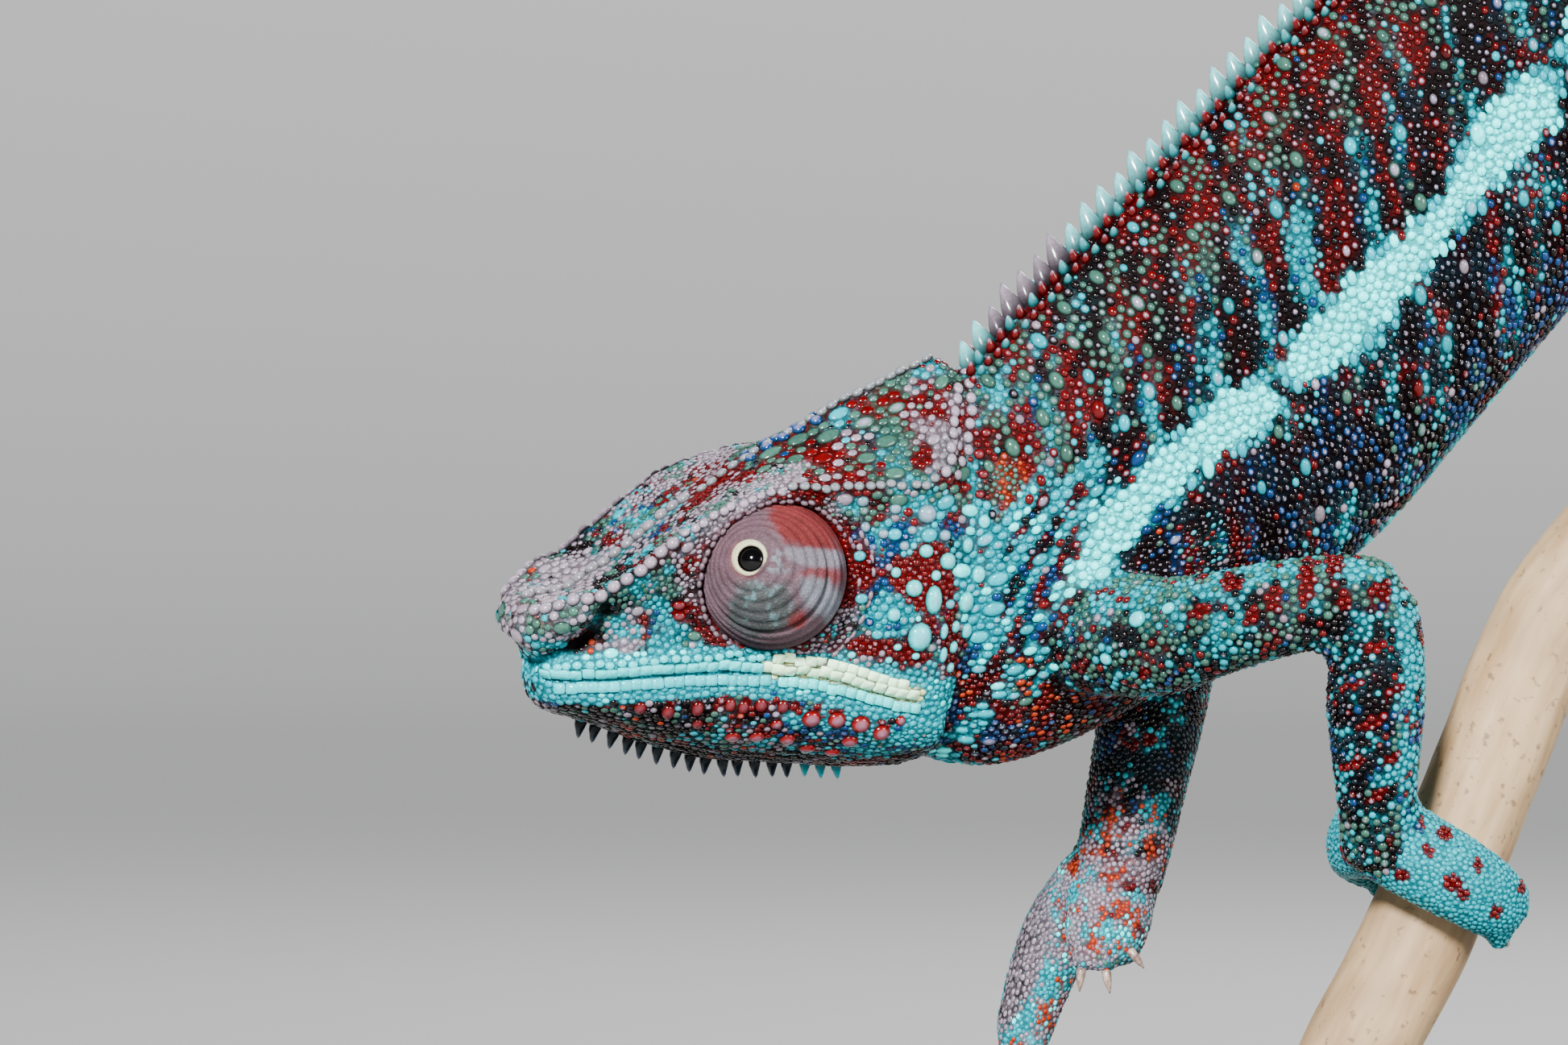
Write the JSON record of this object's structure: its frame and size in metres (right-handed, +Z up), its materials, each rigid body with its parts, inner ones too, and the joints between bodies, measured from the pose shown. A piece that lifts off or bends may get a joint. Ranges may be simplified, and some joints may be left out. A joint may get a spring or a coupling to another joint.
{
  "type": "chameleon figure",
  "caption": "Still, life-size panther chameleon reaching down a short length of bough, its tail wound round it, on a plain base with two rods.",
  "frame": {"origin": "bottom centre of the whole model's box, on the plane that the stand's base rests on", "axes": "+Z up; the animal faces -X and reaches down, with its left side towards -Y; the bough climbs towards +X"},
  "size_m": [0.2329, 0.096, 0.1871],
  "materials": {
    "skin": "granular reptile skin, satin, turquoise with blood-red and dark blue marks and a pale cyan side stripe",
    "eyelid": "fine folded lid skin, brownish red with grey-lilac patches, satin",
    "eye": "wet, glossy and black with a pale lid ring round it",
    "claw": "dull translucent brown horn",
    "bough": "smooth pale tan bark, matt, with cut ends",
    "stand_base": "satin black lacquer",
    "stand_rod": "brushed steel"
  },
  "bodies": {
    "root": {"arm_left_lower": "skin", "arm_left_upper": "skin", "arm_right_lower": "skin", "arm_right_upper": "skin", "claw_forefoot_left_inner_1": "claw", "claw_forefoot_left_inner_2": "claw", "claw_forefoot_left_inner_3": "claw", "claw_forefoot_left_outer_1": "claw", "claw_forefoot_left_outer_2": "claw", "claw_forefoot_right_inner_1": "claw", "claw_forefoot_right_inner_2": "claw", "claw_forefoot_right_inner_3": "claw", "claw_forefoot_right_outer_1": "claw", "claw_forefoot_right_outer_2": "claw", "claw_hindfoot_left_inner_1": "claw", "claw_hindfoot_left_inner_2": "claw", "claw_hindfoot_left_outer_1": "claw", "claw_hindfoot_left_outer_2": "claw", "claw_hindfoot_left_outer_3": "claw", "claw_hindfoot_right_inner_1": "claw", "claw_hindfoot_right_inner_2": "claw", "claw_hindfoot_right_outer_1": "claw", "claw_hindfoot_right_outer_2": "claw", "claw_hindfoot_right_outer_3": "claw", "eye_turret_left": "eyelid", "eye_turret_right": "eyelid", "eyeball_left": "eye", "eyeball_right": "eye", "forefoot_left_inner": "skin", "forefoot_left_outer": "skin", "forefoot_right_inner": "skin", "forefoot_right_outer": "skin", "head": "skin", "hindfoot_left_inner": "skin", "hindfoot_left_outer": "skin", "hindfoot_right_inner": "skin", "hindfoot_right_outer": "skin", "leg_left_lower": "skin", "leg_left_upper": "skin", "leg_right_lower": "skin", "leg_right_upper": "skin", "lower_jaw": "skin", "neck": "skin", "perch_branch": "bough", "stand_base": "stand_base", "stand_rod_front": "stand_rod", "stand_rod_rear": "stand_rod", "tail_1": "skin", "tail_2": "skin", "tail_3": "skin", "tail_4": "skin", "tail_5": "skin", "trunk_front": "skin", "trunk_mid": "skin", "trunk_rear": "skin"}
  },
  "joints": []
}
